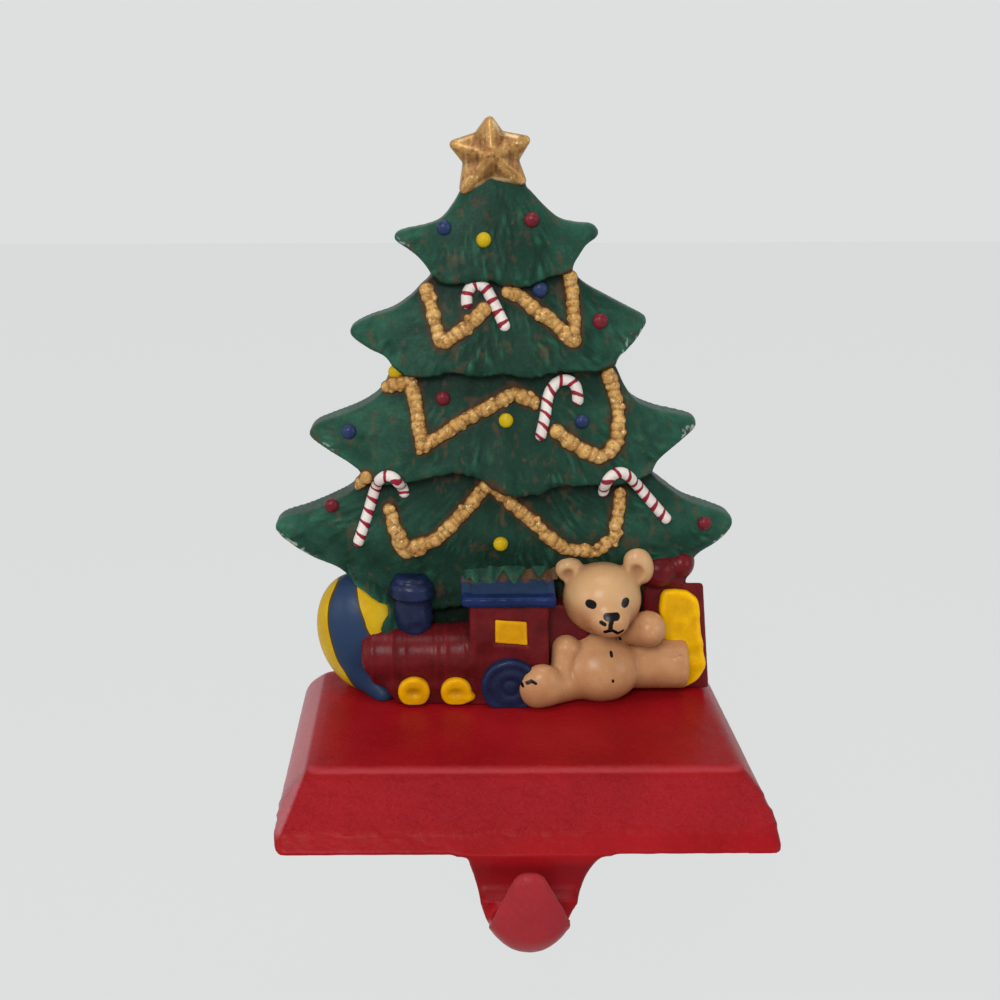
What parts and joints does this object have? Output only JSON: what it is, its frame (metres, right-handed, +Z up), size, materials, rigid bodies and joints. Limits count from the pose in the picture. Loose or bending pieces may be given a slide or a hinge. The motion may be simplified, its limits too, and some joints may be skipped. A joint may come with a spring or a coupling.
{
  "type": "mantel stocking holder",
  "caption": "Painted cast-iron stocking holder: a decorated tree with toys stands on a hollow weighted base, and a hook below the mantel edge carries the stocking.",
  "frame": {"origin": "on the mantel's top front edge at the middle of the base, where the hook's flat back meets the mantel and the pads rest", "axes": "+X to the right along the mantel, seen from the room; -Y out into the room; +Z up"},
  "size_m": [0.1124, 0.0845, 0.1695],
  "materials": {
    "red_enamel": "semi-gloss red enamel over a sand-cast skin",
    "green_enamel": "hand-painted dark green enamel with brown antiquing",
    "gold_paint": "metallic gold paint, rubbed brown in the hollows",
    "white_enamel": "glossy white paint",
    "yellow_enamel": "glossy yellow paint",
    "blue_enamel": "glossy navy blue paint",
    "maroon_enamel": "glossy maroon paint",
    "tan_enamel": "glossy tan paint, shaded brown in the creases",
    "black_paint": "black touches for eyes, nose and lines",
    "screw_steel": "zinc-plated steel",
    "felt": "black felt"
  },
  "bodies": {
    "root": {"base_with_hook": "red_enamel", "tree_figure": "green_enamel", "figure_screws": "screw_steel", "felt_pads": "felt"}
  },
  "joints": []
}
